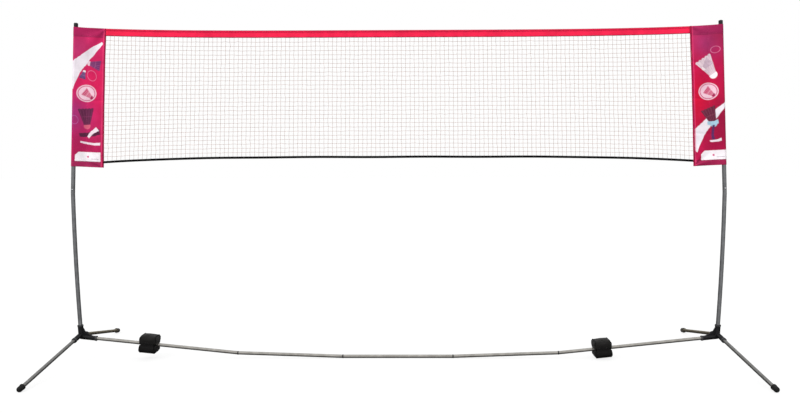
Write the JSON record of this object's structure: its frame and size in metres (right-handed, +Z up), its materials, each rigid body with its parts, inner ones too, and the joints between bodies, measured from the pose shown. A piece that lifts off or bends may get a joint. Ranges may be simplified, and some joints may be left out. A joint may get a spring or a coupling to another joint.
{
  "type": "portable badminton net",
  "caption": "Freestanding badminton net: leaning tube posts with legs, sagging floor bar, mesh net with fabric end sleeves, and wrap-round bar weights.",
  "frame": {"origin": "on the floor, midway between the two posts and the front and rear feet", "axes": "+X along the net to the right, +Y towards the far side, +Z up"},
  "size_m": [3.118, 1.1184, 1.5902],
  "materials": {
    "moulded_black": "moulded, fine grain",
    "leg_steel": "galvanised tube, drawn lengthwise",
    "foot_rubber": "matt rubber",
    "post_steel": "galvanised tube, drawn lengthwise",
    "spigot_steel": "plain steel",
    "button_steel": "polished",
    "spring_steel": "spring steel",
    "cap_black": "smooth moulded",
    "bar_steel": "galvanised tube, drawn lengthwise",
    "pin_black": "moulded",
    "sleeve_cloth": "printed woven polyester",
    "tape_cloth": "woven polyester band",
    "tape_cord": "braided cord",
    "net_twine": "knotted twine",
    "bottom_band": "woven binding",
    "weight_nylon": "coated nylon",
    "weight_webbing": "nylon webbing with hook and loop",
    "core_iron": "rough cast"
  },
  "bodies": {
    "frame": {"base_connector_left": "moulded_black", "base_connector_right": "moulded_black", "lower_post_left": "post_steel", "lower_post_right": "post_steel", "upper_post_left": "post_steel", "upper_post_right": "post_steel", "post_spigot_left": "spigot_steel", "post_spigot_right": "spigot_steel", "post_cap_left": "cap_black", "post_cap_right": "cap_black", "bar_end_left": "bar_steel", "bar_end_right": "bar_steel", "bar_inner_left": "bar_steel", "bar_inner_right": "bar_steel", "bar_middle": "bar_steel", "bar_pin_outer_left": "pin_black", "bar_pin_inner_left": "pin_black", "bar_pin_inner_right": "pin_black", "bar_pin_outer_right": "pin_black"},
    "net": {"sleeve_left": "sleeve_cloth", "sleeve_right": "sleeve_cloth", "top_tape": "tape_cloth", "tape_cord": "tape_cord", "net_mesh": "net_twine", "bottom_cord": "bottom_band"},
    "button_left": {"snap_button_left": "button_steel", "button_spring_left": "spring_steel"},
    "front_leg_body_left": {"front_leg_left": "leg_steel", "front_foot_left": "foot_rubber"},
    "rear_leg_body_left": {"rear_leg_left": "leg_steel", "rear_foot_left": "foot_rubber"},
    "weight_left": {"weight_lower_pad_left": "weight_nylon", "weight_lower_core_left": "core_iron"},
    "weight_lid_left": {"weight_upper_pad_left": "weight_nylon", "weight_upper_core_left": "core_iron", "weight_flap_left": "weight_webbing"},
    "button_right": {"snap_button_right": "button_steel", "button_spring_right": "spring_steel"},
    "front_leg_body_right": {"front_leg_right": "leg_steel", "front_foot_right": "foot_rubber"},
    "rear_leg_body_right": {"rear_leg_right": "leg_steel", "rear_foot_right": "foot_rubber"},
    "weight_right": {"weight_lower_pad_right": "weight_nylon", "weight_lower_core_right": "core_iron"},
    "weight_lid_right": {"weight_upper_pad_right": "weight_nylon", "weight_upper_core_right": "core_iron", "weight_flap_right": "weight_webbing"}
  },
  "joints": [
    {"name": "net_lift", "type": "slide", "parent": "frame", "child": "net", "axis": [0, 0, 1], "range_m": [0, 0.1]},
    {"name": "button_press_left", "type": "slide", "parent": "frame", "child": "button_left", "axis": [0, 1, 0], "range_m": [0, 0.0032], "stiffness_N_per_m": 900, "springref_m": -0.002},
    {"name": "front_leg_pull_left", "type": "slide", "parent": "frame", "child": "front_leg_body_left", "axis": [-0.0514, -0.9814, -0.1847], "range_m": [0, 0.045]},
    {"name": "rear_leg_pull_left", "type": "slide", "parent": "frame", "child": "rear_leg_body_left", "axis": [-0.0514, 0.9814, -0.1847], "range_m": [0, 0.045]},
    {"name": "weight_slide_left", "type": "slide", "parent": "frame", "child": "weight_left", "axis": [-0.9947, 0, 0.1031], "range_m": [-0.15, 0.19]},
    {"name": "weight_open_left", "type": "hinge", "parent": "weight_left", "child": "weight_lid_left", "pos_m": [-1.19, 0.039, 0.06944], "axis": [-0.9947, 0, 0.1031], "range_deg": [0, 110]},
    {"name": "button_press_right", "type": "slide", "parent": "frame", "child": "button_right", "axis": [0, 1, 0], "range_m": [0, 0.0032], "stiffness_N_per_m": 900, "springref_m": -0.002},
    {"name": "front_leg_pull_right", "type": "slide", "parent": "frame", "child": "front_leg_body_right", "axis": [0.0514, -0.9814, -0.1847], "range_m": [0, 0.045]},
    {"name": "rear_leg_pull_right", "type": "slide", "parent": "frame", "child": "rear_leg_body_right", "axis": [0.0514, 0.9814, -0.1847], "range_m": [0, 0.045]},
    {"name": "weight_slide_right", "type": "slide", "parent": "frame", "child": "weight_right", "axis": [0.9947, 0, 0.1031], "range_m": [0, 0.4]},
    {"name": "weight_open_right", "type": "hinge", "parent": "weight_right", "child": "weight_lid_right", "pos_m": [0.972, 0.039, 0.04683], "axis": [-0.9947, 0, -0.1031], "range_deg": [0, 110]}
  ]
}
